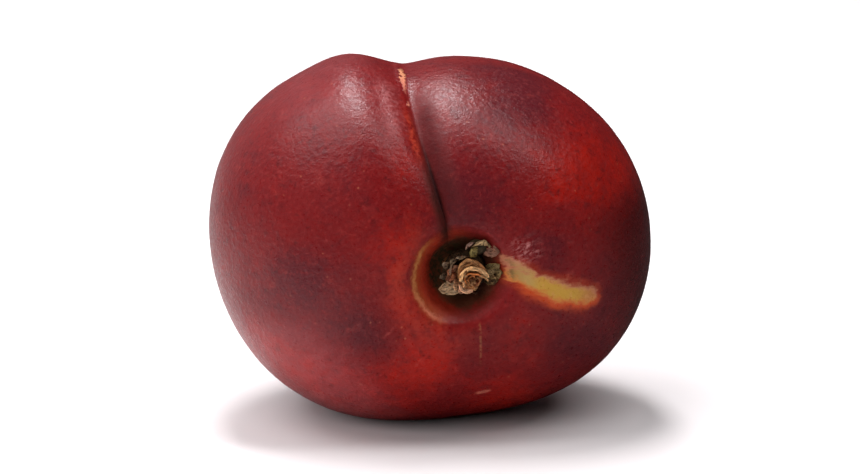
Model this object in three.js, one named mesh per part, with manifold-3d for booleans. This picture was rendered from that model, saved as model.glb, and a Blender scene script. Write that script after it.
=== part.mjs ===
// A whole nectarine lying on the side of its body, with the torn end of its stalk still in the
// stem cavity. Millimetres, +Z up. The origin is the middle of its footprint, on the surface that
// it rests on, and the stem end looks towards -Y.
//
// The fruit is one solid. Its surface is a radius about the centre of the flesh, given by two
// angles: the polar angle from the stem end (0) to the blossom tip (pi), and the azimuth round
// the stem axis, which is 0 on the side of the suture. The stalk, the dry scales round it and the
// bud beside it are solids of their own, shaped in the stem frame: +Z out of the stem, +Y towards
// the suture, and heights counted from the centre of the flesh.
import * as THREE from "three";
import { mergeVertices } from "three/addons/utils/BufferGeometryUtils.js";
import Module from "manifold-3d";

const wasm = await Module();
wasm.setup();

// ---------------------------------------------------------------- driving dimensions

// The flesh: a rounded body whose girth is a circle with a few waves round it.
const GIRTH_RADIUS = 31.3;
const STEM_END = 29.5; // centre to the stem end, before the cavity is sunk
const TIP_END = 31.0; // centre to the blossom tip
const FULLNESS = 2.19; // 2 is an ellipse, more has fuller shoulders
const GIRTH_WAVES = [
  { count: 1, cos: 0.75, sin: 0 },
  { count: 2, cos: -2.53, sin: -1.6 },
  { count: 3, cos: 0.22, sin: -0.31 },
  { count: 4, cos: -0.44, sin: -0.22 },
];

// The suture: a broad furrow between two cheeks, with a narrow crease along its bottom.
const SUTURE = {
  sway: 0.079, // how far the line swings to the right cheek at the girth, in radians
  hook: -0.068, // how far it bends one way near the stem and the other near the tip
  furrowDepth: 2.14,
  furrowWidth: 5.47,
  creaseAtStem: 1.5,
  creaseAtTip: 0.12,
  creaseFades: [0.45, 1.35], // the polar angles between which it goes from one depth to the other
  creaseSoftness: [0.05, 1.4], // how rounded its bottom is, at the stem and at the tip
  furrowFades: 0.16, // the share of its depth that the furrow loses on the same way
  creaseWidth: 1.15,
  cheekOffset: 8.5,
  cheekWidth: 5.0,
  leftCheek: 0.71,
  rightCheek: -0.28,
};

// The stem cavity: a wide basin, and in it a funnel that the stalk stands in.
const CAVITY = { basinDepth: 2.5, basinWidth: 14, funnelDepth: 8, funnelWidth: 6.5 };
const TIP_DIMPLE = { depth: 1.5, width: 6 };

// How it lies, in degrees: turned to one side, and rolled about its own axis.
const LIE = { turn: 10, roll: 12.9 };
const FLAT_SPOT = { depth: 0.8, easing: 0.25 };

// The stub of the stalk: it leans, so that its torn head stands beside the stem axis.
const STALK = {
  foot: 16.5,
  top: 25.7,
  neckRadius: 1.7,
  headRadius: 2.2,
  flutes: 5,
  lean: { x: 1.9, y: -0.8 },
  lip: 0.45, // how far the lips of the torn end stand up on the side of the suture
  brokenSide: -50, // where the head is broken away, in degrees from +X towards +Y
  brokenDepth: 0.24, // as a share of its radius
};

// The dry scales. Each grows from a foot, along a bearing (from +X towards +Y, in degrees) and a
// lean from the stem axis; its hollow side faces inwards. The first is the broad one.
const SCALE_THICKNESS = 0.6;
const COLLAR = { radius: 3.2, low: 20.4, high: 23.9, x: 1.3, y: -0.4 };
const STALK_SCALES = [
  { foot: [0.2, -2.0, 23.6], bearing: 172, lean: 72, length: 4.0, width: 2.4, cup: 0.3, curl: 0.3 },
  { foot: [-0.5, -0.4, 23.1], bearing: 178, lean: 34, length: 2.5, width: 1.9, cup: 0.35, curl: -0.3 },
  { foot: [-0.5, 0.5, 23.2], bearing: 152, lean: 32, length: 2.7, width: 2.0, cup: 0.3, curl: 0.5 },
  { foot: [0.0, 1.0, 23.1], bearing: 128, lean: 36, length: 2.6, width: 1.8, cup: 0.35, curl: 0.4 },
  { foot: [1.3, 1.7, 22.9], bearing: 98, lean: 20, length: 2.4, width: 1.7, cup: 0.3, curl: 0.2 },
  { foot: [0.3, -2.2, 23.2], bearing: 222, lean: 34, length: 2.2, width: 2.0, cup: 0.3, curl: 0.3 },
  { foot: [1.9, -3.0, 22.9], bearing: 268, lean: 18, length: 1.8, width: 2.0, cup: 0.3, curl: -0.2 },
  { foot: [3.9, -2.0, 23.2], bearing: 346, lean: 46, length: 2.6, width: 2.0, cup: 0.35, curl: 0.5 },
  { foot: [4.2, -1.2, 23.6], bearing: 356, lean: 52, length: 3.1, width: 1.9, cup: 0.35, curl: 0.5 },
  { foot: [4.5, -0.6, 23.7], bearing: 6, lean: 50, length: 2.4, width: 1.5, cup: 0.3, curl: -0.3 },
];

// The bud beside the stalk: a small leaning core with scales folded up round it.
const BUD = { x: 3.9, y: 2.9, low: 21.6, high: 25.2, radius: 1.25, bearing: 42, tilt: 12 };
const BUD_SCALES = [
  { foot: [2.7, 3.3, 23.4], bearing: 112, lean: 26, length: 3.1, width: 1.8, cup: 0.3, curl: 0.3 },
  { foot: [4.2, 3.2, 23.4], bearing: 76, lean: 22, length: 3.1, width: 2.7, cup: 0.45, curl: 0.3 },
  { foot: [4.8, 2.3, 23.7], bearing: 348, lean: 40, length: 3.0, width: 2.2, cup: 0.35, curl: 0.2 },
  { foot: [3.3, 2.0, 23.2], bearing: 290, lean: -18, length: 2.5, width: 2.0, cup: 0.3, curl: 0.2 },
];

const GAP = 0.3; // between solids that touch

const FRUIT_COLUMNS = 84;
const FRUIT_RINGS = 46;

// ---------------------------------------------------------------- small helpers

const rad = THREE.MathUtils.degToRad;
const ease = THREE.MathUtils.smoothstep;
const mix = THREE.MathUtils.lerp;
const bell = (x, width) => Math.exp(-((x / width) ** 2));

/** Moves each vertex of a geometry by a function, and keeps only positions, so that seams weld. */
function shaped(geometry, move) {
  const position = geometry.getAttribute("position");
  const point = new THREE.Vector3();
  for (let i = 0; i < position.count; i++) {
    move(point.fromBufferAttribute(position, i));
    position.setXYZ(i, point.x, point.y, point.z);
  }
  geometry.deleteAttribute("normal");
  geometry.deleteAttribute("uv");
  return mergeVertices(geometry);
}

function solidFrom(geometry) {
  return new wasm.Manifold(
    new wasm.Mesh({
      numProp: 3,
      vertProperties: new Float32Array(geometry.getAttribute("position").array),
      triVerts: new Uint32Array(geometry.index.array),
    }),
  );
}

function geometryFrom(solid) {
  const { vertProperties, triVerts } = solid.getMesh();
  const geometry = new THREE.BufferGeometry();
  geometry.setAttribute("position", new THREE.BufferAttribute(vertProperties, 3));
  geometry.setIndex(new THREE.BufferAttribute(triVerts, 1));
  geometry.computeVertexNormals();
  return geometry;
}

const joined = (solids) => solids.reduce((sum, solid) => sum.add(solid));

/** The largest body of a solid, without the scraps that a cut leaves. */
function largest(solid) {
  return solid.decompose().reduce((best, body) => (body.volume() > best.volume() ? body : best));
}

// ---------------------------------------------------------------- the fruit

/** Radius of the girth at an azimuth. */
function girth(azimuth) {
  return GIRTH_WAVES.reduce((sum, { count, cos, sin }) => {
    return sum + cos * Math.cos(count * azimuth) + sin * Math.sin(count * azimuth);
  }, GIRTH_RADIUS);
}

/** Azimuth of the suture at a polar angle. */
function sutureAzimuth(polar) {
  return SUTURE.sway * Math.sin(polar) + SUTURE.hook * Math.sin(2 * polar);
}

/** How far the furrow, its crease and the cheeks beside it move the surface out. */
function sutureRelief(polar, azimuth, radius) {
  const away = azimuth - sutureAzimuth(polar);
  const across = radius * Math.sin(polar) * Math.sin(away);
  const onThisSide = ease(Math.cos(away), -0.2, 0.5);
  const offEnds = ease(polar, 0.1, 0.4) * ease(Math.PI - polar, 0.05, 0.6);
  const cheeks =
    SUTURE.leftCheek * bell(across + SUTURE.cheekOffset, SUTURE.cheekWidth) +
    SUTURE.rightCheek * bell(across - SUTURE.cheekOffset, SUTURE.cheekWidth);
  const faded = ease(polar, ...SUTURE.creaseFades);
  const furrowDepth = SUTURE.furrowDepth * (1 - SUTURE.furrowFades * faded);
  const furrow = furrowDepth * bell(across, SUTURE.furrowWidth);
  const creaseDepth = mix(SUTURE.creaseAtStem, SUTURE.creaseAtTip, faded);
  const softness = mix(...SUTURE.creaseSoftness, faded);
  const aside = Math.hypot(across, softness) - softness;
  const crease = creaseDepth * offEnds * Math.exp(-aside / SUTURE.creaseWidth);
  return onThisSide * (Math.sin(polar) * (cheeks - furrow) - crease);
}

/** How deep the cavity at the stem, or the dimple at the tip, is sunk. */
function endDepth(polar, radius) {
  const off = radius * Math.sin(polar);
  if (Math.cos(polar) < 0) return TIP_DIMPLE.depth * bell(off, TIP_DIMPLE.width);
  const funnel = CAVITY.funnelDepth * Math.exp(-((off / CAVITY.funnelWidth) ** 4));
  return CAVITY.basinDepth * bell(off, CAVITY.basinWidth) + funnel;
}

function fruitRadius(polar, azimuth) {
  const end = Math.cos(polar) > 0 ? STEM_END : TIP_END;
  const sideways = (Math.sin(polar) / girth(azimuth)) ** FULLNESS;
  const lengthways = Math.abs(Math.cos(polar) / end) ** FULLNESS;
  let radius = (sideways + lengthways) ** (-1 / FULLNESS);
  radius += sutureRelief(polar, azimuth, radius);
  return radius - endDepth(polar, radius);
}

/** The fruit's surface in the stem frame, grown outwards by a clearance. */
function fruitSurface(clearance) {
  const sphere = new THREE.SphereGeometry(1, FRUIT_COLUMNS, FRUIT_RINGS);
  return shaped(sphere, (point) => {
    const down = Math.acos(THREE.MathUtils.clamp(point.y, -1, 1)) / Math.PI;
    const polar = Math.PI * mix(down, down * down, 0.55); // closer rings in the cavity
    const onSeam = point.x < 0 && Math.abs(point.z) < 1e-9;
    const turn = onSeam ? Math.PI : Math.atan2(point.z, point.x);
    const closer = turn - 0.62 * Math.sin(turn); // closer columns by the suture, which they follow
    const azimuth = closer + (sutureAzimuth(polar) * (1 + Math.cos(turn))) / 2;
    const radius = fruitRadius(polar, azimuth) + clearance;
    const out = radius * Math.sin(polar);
    point.set(out * Math.sin(azimuth), out * Math.cos(azimuth), radius * Math.cos(polar));
  });
}

/** Presses the lowest part flat, with a soft edge. Returns the height of the flat. */
function pressFlat(geometry) {
  geometry.computeBoundingBox();
  const floor = geometry.boundingBox.min.z + FLAT_SPOT.depth;
  const position = geometry.getAttribute("position");
  for (let i = 0; i < position.count; i++) {
    const t = (position.getZ(i) - floor) / FLAT_SPOT.easing;
    if (t <= -1) position.setZ(i, floor);
    else if (t < 1) position.setZ(i, floor + (FLAT_SPOT.easing * (t + 1) ** 2) / 4);
  }
  return floor;
}

// The turn from the stem frame to the row frame.
const lie = new THREE.Quaternion()
  .setFromAxisAngle(new THREE.Vector3(0, 0, 1), rad(LIE.turn))
  .multiply(new THREE.Quaternion().setFromAxisAngle(new THREE.Vector3(1, 0, 0), Math.PI / 2))
  .multiply(new THREE.Quaternion().setFromAxisAngle(new THREE.Vector3(0, 0, 1), rad(LIE.roll)));

const skin = fruitSurface(0).applyQuaternion(lie);
const floor = pressFlat(skin);
skin.computeBoundingBox();
const middle = skin.boundingBox.getCenter(new THREE.Vector3());
skin.translate(-middle.x, -middle.y, -floor);

const stemEnd = new THREE.Group();
stemEnd.quaternion.copy(lie);
stemEnd.position.set(-middle.x, -middle.y, -floor);
stemEnd.updateMatrixWorld(true);

// ---------------------------------------------------------------- the stalk

/** The height of the torn end over its rim, at a share of the head's radius and an angle. */
function tornHeight(share, around) {
  const sutureSide = ease(Math.sin(around), -0.5, 0.7);
  const lips = STALK.lip * (bell(share - 0.94, 0.1) + 0.8 * bell(share - 0.62, 0.1)) * sutureSide;
  const hollow = 0.55 * bell(share, 0.85);
  const fibres = 0.16 * Math.sin(7 * around + 1.3) * share * (1.2 - sutureSide);
  return lips - hollow + fibres;
}

/** The stub of the stalk: fluted, wider at its head, with a torn and hollowed end. */
function stalkGeometry(clearance) {
  const { foot, top, neckRadius, headRadius, flutes, lean, brokenSide, brokenDepth } = STALK;
  const side = [
    [neckRadius * 0.85, foot - clearance],
    [neckRadius, foot + 1],
    [neckRadius, foot + 3],
    [neckRadius * 1.06, foot + 5],
    [headRadius * 0.94, top - 2],
    [headRadius, top - 0.8],
    [headRadius, top],
  ].map(([radius, height]) => [radius + clearance, height]);
  const end = [0.94, 0.78, 0.62, 0.45, 0.2, 0].map((share) => [share * (headRadius + clearance), top]);
  const profile = [[0, foot - clearance], ...side, ...end].map(([r, h]) => new THREE.Vector2(r, h));
  return shaped(new THREE.LatheGeometry(profile, 28), (point) => {
    const share = Math.hypot(point.x, point.z) / headRadius;
    const around = Math.atan2(-point.z, point.x);
    const rise = (point.y - foot) / (top - foot);
    const fluted = 1 + 0.05 * Math.cos(flutes * around + 0.6) + 0.03 * Math.sin(3 * around);
    const broken = bell(2 * Math.sin((around - rad(brokenSide)) / 2), 0.7) * ease(rise, 0.7, 1);
    const grown = fluted - brokenDepth * broken;
    const torn = rise > 0.999 ? tornHeight(share, share > 1e-3 ? around : 0) : 0;
    point.set(
      point.x * grown + lean.x * ease(rise, 0, 1),
      -point.z * grown + lean.y * ease(rise, 0, 1),
      point.y + torn,
    );
  });
}

// ---------------------------------------------------------------- the dry scales

/** Half the width of a scale, as a share of its full half width, at a share of its length. */
function scaleOutline(along) {
  const shoulder = ease(along, -0.4, 0.45);
  return mix(0.5, 1, shoulder) * Math.sqrt(Math.max(0.03, 1 - ease(along, 0.35, 1.1) ** 1.4));
}

/** One dry scale, a cupped blade. */
function scaleSolid({ foot, bearing, lean, length, width, cup, curl }) {
  const blade = new THREE.BoxGeometry(1, 1, 1, 4, 5, 1);
  const geometry = shaped(blade, (point) => {
    const along = point.y + 0.5;
    const across = 2 * point.x;
    point.set(
      0.5 * width * scaleOutline(along) * across,
      length * along,
      SCALE_THICKNESS * mix(1.3, 1, along) * point.z + cup * across * across + curl * along * along,
    );
  });
  const out = new THREE.Vector3(Math.cos(rad(bearing)), Math.sin(rad(bearing)), 0);
  const growth = out.clone().multiplyScalar(Math.sin(rad(lean))).setZ(Math.cos(rad(lean)));
  const face = out.clone().multiplyScalar(-Math.cos(rad(lean))).setZ(Math.sin(rad(lean)));
  const side = new THREE.Vector3().crossVectors(growth, face);
  const frame = new THREE.Matrix4().makeBasis(side, growth, face).setPosition(...foot);
  return solidFrom(geometry.applyMatrix4(frame));
}

/** The ring of bark that the scales round the stalk grow from. */
function collarSolid() {
  const { radius, low, high } = COLLAR;
  const profile = [
    [0, low],
    [radius * 0.75, low],
    [radius, mix(low, high, 0.5)],
    [radius * 0.95, mix(low, high, 0.85)],
    [radius * 0.8, high],
    [0, high],
  ].map(([r, h]) => new THREE.Vector2(r, h));
  return solidFrom(
    shaped(new THREE.LatheGeometry(profile, 20), (point) => {
      point.set(point.x + COLLAR.x, -point.z + COLLAR.y, point.y);
    }),
  );
}

/** The egg-shaped core of the bud. */
function budCore() {
  const centre = new THREE.Vector3(BUD.x, BUD.y, mix(BUD.low, BUD.high, 0.5));
  const acrossLean = new THREE.Vector3(-Math.sin(rad(BUD.bearing)), Math.cos(rad(BUD.bearing)), 0);
  return solidFrom(
    shaped(new THREE.SphereGeometry(1, 12, 8), (point) => {
      point.set(point.x * BUD.radius, -point.z * BUD.radius, (point.y * (BUD.high - BUD.low)) / 2);
      point.applyAxisAngle(acrossLean, rad(BUD.tilt)).add(centre);
    }),
  );
}

/** A big block on one side of the plane between the stalk's scales and the bud. */
function sideOfBud(sign) {
  const size = 40;
  const across = { x: BUD.x - STALK.lean.x, y: BUD.y - STALK.lean.y };
  const plane = 0.64 * Math.hypot(across.x, across.y);
  const block = new THREE.BoxGeometry(size, size, size)
    .translate((sign * (size - GAP)) / 2 + plane, 0, STALK.top)
    .rotateZ(Math.atan2(across.y, across.x))
    .translate(STALK.lean.x, STALK.lean.y, 0);
  return solidFrom(shaped(block, () => {}));
}

// ---------------------------------------------------------------- assembly

function mesh(name, geometry, { color, roughness }) {
  const material = new THREE.MeshStandardMaterial({ color, roughness, metalness: 0 });
  const made = new THREE.Mesh(geometry, material);
  made.name = name;
  return made;
}

const stalk = solidFrom(stalkGeometry(0));
const stalkRoom = stalkGeometry(GAP);
const fleshRoom = fruitSurface(2 * GAP);

/** Joins solids into one, clear of the stalk and the flesh, on one side of the bud's plane. */
function cluster(solids, otherSide) {
  const overHead = stalkRoom.clone().translate(0, 0, 1);
  const rooms = [stalkRoom, overHead, fleshRoom].map(solidFrom);
  const cut = [...rooms, sideOfBud(otherSide)];
  return largest(cut.reduce((rest, room) => rest.subtract(room), joined(solids)));
}

const stalkScales = cluster([collarSolid(), ...STALK_SCALES.map(scaleSolid)], 1);
const sideBud = cluster([budCore(), ...BUD_SCALES.map(scaleSolid)], -1);
const stalkHole = stalkRoom.clone().applyMatrix4(stemEnd.matrixWorld);
const fruit = solidFrom(skin).subtract(solidFrom(stalkHole));

stemEnd.add(
  mesh("stalk", geometryFrom(stalk), { color: 0xb9804a, roughness: 0.8 }),
  mesh("stalk_scales", geometryFrom(stalkScales), { color: 0x6f6a4c, roughness: 0.85 }),
  mesh("side_bud", geometryFrom(sideBud), { color: 0x7d7a58, roughness: 0.85 }),
);
const nectarine = new THREE.Group();
nectarine.add(mesh("fruit", geometryFrom(fruit), { color: 0x7a1c22, roughness: 0.4 }), stemEnd);

export default nectarine;
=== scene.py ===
"""The looks of a nectarine: its fine skin, and the torn stalk, dry scales and bud in its stem cavity."""

import math
from types import SimpleNamespace

import bpy
import numpy as np
from mathutils import Matrix, Vector


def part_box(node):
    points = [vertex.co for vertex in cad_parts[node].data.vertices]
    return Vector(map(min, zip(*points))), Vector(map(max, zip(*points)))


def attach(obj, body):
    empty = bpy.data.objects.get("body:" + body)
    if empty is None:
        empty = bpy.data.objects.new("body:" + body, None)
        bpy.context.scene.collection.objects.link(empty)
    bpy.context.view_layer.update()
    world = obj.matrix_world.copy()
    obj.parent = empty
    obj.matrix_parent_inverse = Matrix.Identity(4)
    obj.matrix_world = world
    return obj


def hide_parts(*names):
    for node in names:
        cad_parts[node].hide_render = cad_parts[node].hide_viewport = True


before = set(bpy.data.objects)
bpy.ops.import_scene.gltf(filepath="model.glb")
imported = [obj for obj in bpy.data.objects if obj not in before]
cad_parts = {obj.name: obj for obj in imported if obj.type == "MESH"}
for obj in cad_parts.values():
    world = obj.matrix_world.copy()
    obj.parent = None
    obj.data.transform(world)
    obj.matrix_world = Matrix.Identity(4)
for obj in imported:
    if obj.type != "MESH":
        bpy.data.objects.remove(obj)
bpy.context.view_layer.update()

MM = 0.001
scene = bpy.context.scene

# ------------ shape of the fruit, as in the CAD source (mm)

GIRTH_RADIUS = 31.3
STEM_END = 29.5
TIP_END = 31.0
FULLNESS = 2.19
GIRTH_WAVES = ((1, 0.75, 0), (2, -2.53, -1.6), (3, 0.22, -0.31), (4, -0.44, -0.22))
SUTURE_SWAY, SUTURE_HOOK = 0.079, -0.068
FURROW_DEPTH, FURROW_WIDTH = 2.14, 5.47
CREASE_AT_STEM, CREASE_AT_TIP = 1.5, 0.12  # how deep the crease is
CREASE_WIDTHS = (0.6, 1.7)  # on its left and on its right
CREASE_FADES = (0.45, 1.35)  # the polar angles between which it fades
CREASE_SHARP, CREASE_SOFT = 0.05, 1.4  # how rounded its bottom is, at the stem and at the tip
FURROW_FADES = 0.16  # the share of its depth that the furrow loses on the same way
CHEEK_OFFSET, CHEEK_WIDTH, LEFT_CHEEK, RIGHT_CHEEK = 8.5, 5.0, 0.71, -0.28
BASIN_DEPTH, BASIN_WIDTH = 2.5, 14
FUNNEL_DEPTH, FUNNEL_WIDTH = 8, 6.5
DIMPLE_DEPTH, DIMPLE_WIDTH = 1.5, 6
LIE_TURN, LIE_ROLL = 10, 12.9  # degrees
FLAT_DEPTH, FLAT_EASING = 0.8, 0.25
SKIN_COLUMNS, SKIN_RINGS = 400, 232


def ease(x, low, high):
    """Smooth step from 0 at low to 1 at high."""
    t = np.clip((x - low) / (high - low), 0, 1)
    return t * t * (3 - 2 * t)


def bell(x, width):
    return np.exp(-((x / width) ** 2))


def stretch(x, starts, full, wanes, ends):
    """1 between full and wanes, and 0 before starts and after ends."""
    return ease(x, starts, full) * (1 - ease(x, wanes, ends))


def circle(count):
    return 2 * math.pi * np.arange(count) / count


def joined(*coordinates):
    """Points from their coordinates, each an array or a number."""
    return np.stack(np.broadcast_arrays(*coordinates), -1)


def girth(azimuth):
    return GIRTH_RADIUS + sum(c * np.cos(n * azimuth) + s * np.sin(n * azimuth) for n, c, s in GIRTH_WAVES)


def suture_azimuth(polar):
    return SUTURE_SWAY * np.sin(polar) + SUTURE_HOOK * np.sin(2 * polar)


def suture_relief(polar, azimuth, radius):
    """The height of the cheeks beside the suture, less its furrow and its crease."""
    away = azimuth - suture_azimuth(polar)
    across = radius * np.sin(polar) * np.sin(away)
    this_side = ease(np.cos(away), -0.2, 0.5)
    off_ends = ease(polar, 0.1, 0.4) * ease(math.pi - polar, 0.05, 0.6)
    left_cheek = LEFT_CHEEK * bell(across + CHEEK_OFFSET, CHEEK_WIDTH)
    right_cheek = RIGHT_CHEEK * bell(across - CHEEK_OFFSET, CHEEK_WIDTH)
    faded = ease(polar, *CREASE_FADES)
    furrow = FURROW_DEPTH * (1 - FURROW_FADES * faded) * bell(across, FURROW_WIDTH)
    depth = CREASE_AT_STEM + (CREASE_AT_TIP - CREASE_AT_STEM) * faded
    softness = CREASE_SHARP + (CREASE_SOFT - CREASE_SHARP) * faded
    aside = np.hypot(across, softness) - softness
    crease = depth * off_ends * np.exp(-aside / np.where(across < 0, *CREASE_WIDTHS))
    return this_side * (np.sin(polar) * (left_cheek + right_cheek - furrow) - crease)


def end_depth(polar, radius):
    """The depth of the stem cavity, or of the dimple at the tip."""
    off = radius * np.sin(polar)
    cavity = BASIN_DEPTH * bell(off, BASIN_WIDTH) + FUNNEL_DEPTH * np.exp(-((off / FUNNEL_WIDTH) ** 4))
    return np.where(np.cos(polar) < 0, DIMPLE_DEPTH * bell(off, DIMPLE_WIDTH), cavity)


def fruit_radius(polar, azimuth):
    end = np.where(np.cos(polar) > 0, STEM_END, TIP_END)
    sideways = (np.abs(np.sin(polar)) / girth(azimuth)) ** FULLNESS
    lengthways = np.abs(np.cos(polar) / end) ** FULLNESS
    radius = (sideways + lengthways) ** (-1 / FULLNESS)
    radius = radius + suture_relief(polar, azimuth, radius)
    return radius - end_depth(polar, radius)


def skin_surface():
    """Angles of the skin's vertices: the stem end's, the rings', the tip's."""
    down = np.arange(1, SKIN_RINGS) / SKIN_RINGS
    polar = math.pi * (0.45 * down + 0.55 * down**2)  # closer rings in the cavity
    turn = -math.pi + circle(SKIN_COLUMNS)
    polar, turn = np.meshgrid(polar, turn, indexing="ij")
    azimuth = turn - 0.62 * np.sin(turn)  # closer columns by the suture, which they follow
    azimuth = azimuth + suture_azimuth(polar) * (1 + np.cos(turn)) / 2
    polar = np.concatenate([[0.0], polar.ravel(), [math.pi]])
    azimuth = np.concatenate([[0.0], azimuth.ravel(), [0.0]])
    return polar, azimuth


def stem_point(polar, azimuth, radius):
    """The point of the stem frame at a radius and two angles. Azimuth 0 is the suture's side."""
    out = radius * np.sin(polar)
    return joined(out * np.sin(azimuth), out * np.cos(azimuth), radius * np.cos(polar))


def turn_to_row():
    """The rotation from the stem frame (+Z out of the stem, +Y towards the suture) to the row frame."""

    def about_z(a):
        return np.array([[math.cos(a), -math.sin(a), 0], [math.sin(a), math.cos(a), 0], [0, 0, 1]])

    tip_over = np.array([[1, 0, 0], [0, 0, -1], [0, 1, 0]])
    return about_z(math.radians(LIE_TURN)) @ tip_over @ about_z(math.radians(LIE_ROLL))


LIE = turn_to_row()


def flesh_centre():
    """The stem frame's origin in the row frame, whose own origin is under the middle of the fruit's box."""
    polar, azimuth = skin_surface()
    turned = stem_point(polar, azimuth, fruit_radius(polar, azimuth)) @ LIE.T
    low, high = turned.min(0), turned.max(0)
    return np.array([-(low[0] + high[0]) / 2, -(low[1] + high[1]) / 2, -low[2] - FLAT_DEPTH])


FLESH_CENTRE = flesh_centre()


def to_row(points):
    """Points of the stem frame, in the row frame. Both in millimetres."""
    return points @ LIE.T + FLESH_CENTRE


NOISE_CELLS = 24
NOISE_SHIFT = 240.37  # puts the fruit's middle between two planes of the lattice


def smooth_noise(points, size, seed):
    """Smooth noise from -1 to 1 at each point, with features of about that size."""
    table = np.random.default_rng(seed).uniform(-1, 1, (NOISE_CELLS,) * 3)
    p = np.asarray(points, float) / size + NOISE_SHIFT
    cell = np.floor(p).astype(int)
    f = p - cell
    f = f * f * f * (f * (6 * f - 15) + 10)
    total = 0
    for corner in np.ndindex(2, 2, 2):
        weight = np.prod([f[..., k] if corner[k] else 1 - f[..., k] for k in range(3)], axis=0)
        total = total + weight * table[tuple((cell[..., k] + corner[k]) % NOISE_CELLS for k in range(3))]
    return total


def layered_noise(points, size, seed):
    """Smooth noise with two finer, weaker layers added."""
    shares = (1, 0.5, 0.25)
    total = sum(share * smooth_noise(points, share * size, seed + k) for k, share in enumerate(shares))
    return total / sum(shares)


def stroke(plane, start, end, widths):
    """1 along a line in a plane and 0 away from it: widths are its half widths at the start and the end."""
    start, end = np.array(start, float), np.array(end, float)
    along = np.clip((plane - start) @ (end - start) / ((end - start) @ (end - start)), 0, 1)
    off = np.linalg.norm(plane - start - along[..., None] * (end - start), axis=-1)
    width = widths[0] + (widths[1] - widths[0]) * along
    return bell(off, width)


# ------------ meshes


def add_piece(name, points, faces, node, material, values):
    """A mesh object from points in the row frame in millimetres, in place of a CAD node."""
    mesh = bpy.data.meshes.new(name)
    mesh.from_pydata((points * MM).tolist(), [], faces)
    mesh.polygons.foreach_set("use_smooth", [True] * len(mesh.polygons))
    for key, value in values.items():
        value = np.asarray(value, np.float32)
        kind, field = ("FLOAT", "value") if value.ndim == 1 else ("FLOAT_VECTOR", "vector")
        mesh.attributes.new(key, kind, "POINT").data.foreach_set(field, value.ravel())
    mesh.materials.append(material)
    mesh.update()
    piece = bpy.data.objects.new(name, mesh)
    scene.collection.objects.link(piece)
    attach(piece, "root")
    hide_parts(node)
    return piece


def closed_rings(rings, columns):
    """Faces of rings of vertices closed by a first and a last vertex. Vertex order: first, rings, last."""
    r, c = np.meshgrid(np.arange(rings - 1), np.arange(columns), indexing="ij")
    n = (c + 1) % columns
    quads = joined(r * columns + c, r * columns + n, (r + 1) * columns + n, (r + 1) * columns + c)
    faces = [tuple(quad) for quad in (quads.reshape(-1, 4) + 1).tolist()]
    last = rings * columns + 1
    base = (rings - 1) * columns + 1
    for here in range(columns):
        beside = (here + 1) % columns
        faces.append((0, 1 + beside, 1 + here))
        faces.append((last, base + here, base + beside))
    return faces


# ------------ the skin

# Soft clouds of colour on the stem's side: place in the stem frame's XY, radius, and how red (or plum).
CLOUDS = (
    (-22, 13, 5, 0.15),
    (-8.5, 6.5, 4, 0.45),
    (-6, -11, 4.5, 0.45),
    (-14, -15, 7, 0.35),
    (-25, -11, 6, 0.4),
    (7, -13, 5, 0.35),
    (19, 10, 5, 0.15),
    (21, 11, 7, 0.4),
    (17, 22, 7, -0.5),
    (20, -17, 5, -0.3),
    (27, 2, 7, 0.25),
    (8, 21, 6, -0.1),
    (-3, 17, 3, 0.3),
    (-24, 14, 6, -0.15),
    (-25, -1, 7, -0.3),
    (-15, -5, 4.5, -0.5),
    (-12, 20, 6, -0.15),
    (-10, -3, 3, 0.4),
    (-22, 5, 5, -0.3),
    (-29, -5, 5, 0.3),
    (0.5, -11, 3.5, -0.25),
    # painted reflection: this redder cloud low down stands for the floor's light along the bottom edge
    (3, -24, 6, 0.35),
    (5, 11, 5.5, -0.4),
    (14, 1, 4, -0.3),
    (13, -15, 6, -0.35),
    (24, -9, 5, -0.3),
)

# Strokes that make the yellow-green patch, in the stem frame's XY: from, to, half widths there, strength.
PATCH_STROKES = (
    ((7.3, 0.4), (10.4, -2.3), (1.1, 1.1), 0.75),
    ((7.3, -1.3), (10.4, -3.7), (1.4, 1.5), 0.9),
    ((10.4, -3.7), (14.0, -6.3), (1.4, 1.9), 1.0),
    ((14.0, -6.3), (18.6, -8.7), (1.9, 1.5), 1.0),
)
# Fine relief of the skin: height, place across the suture or off the stem's axis, half width.
LIP, SWELLING, GROOVE = (0.14, -0.8, 0.5), (0.19, -3.0, 1.1), (-0.38, -0.1, 1.5)
RIM, PLEATS, PLEAT_COUNT = (0.16, 7.3, 0.6), (0.1, 4.6, 1.6), 11
LIP_RUN, PINCHED = (0.2, 0.5, 1.5, 2.1), (0.45, 0.72, 1.1, 1.35)  # stretches of the polar angle
RAGGED = 0.08  # how much the lip and the rim vary in height
UNEVEN = (0.14, 0.035, 0.008)  # broad, middling and fine
SUNK = 0.12  # keeps the uneven skin inside the solid
# What off and across grow by on the sides that their marks keep off.
HIDDEN = 60


def cloud_redness(plane):
    total = 0
    for x, y, radius, red in CLOUDS:
        total = total + red * bell(np.hypot(plane[:, 0] - x, plane[:, 1] - y), radius)
    return total


def patch_strength(plane, middling, fine):
    ragged = plane + 0.3 * joined(fine, np.roll(fine, 7)) + 0.5 * joined(middling, -middling)
    drawn = [strength * stroke(ragged, start, end, widths) for start, end, widths, strength in PATCH_STROKES]
    return np.max(drawn, axis=0)


def ridge(shape, place, grown=0):
    height, middle, width = shape
    return (height + grown) * bell(place - middle, width)


def fine_suture_relief(polar, across, middling):
    """The rolled left lip of the crease, and the swelling and the groove of its pinched stretch."""
    lip = stretch(polar, *LIP_RUN) * ridge(LIP, across, RAGGED * middling)
    return lip + stretch(polar, *PINCHED) * (ridge(SWELLING, across) + ridge(GROOVE, across))


def fine_cavity_relief(azimuth, off, broad, middling):
    """The rim of the cavity and the pleats of its wall."""
    pleats = np.cos(PLEAT_COUNT * azimuth + 2.5 * broad) * ridge(PLEATS, off)
    return ridge(RIM, off, RAGGED * middling) + pleats


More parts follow.
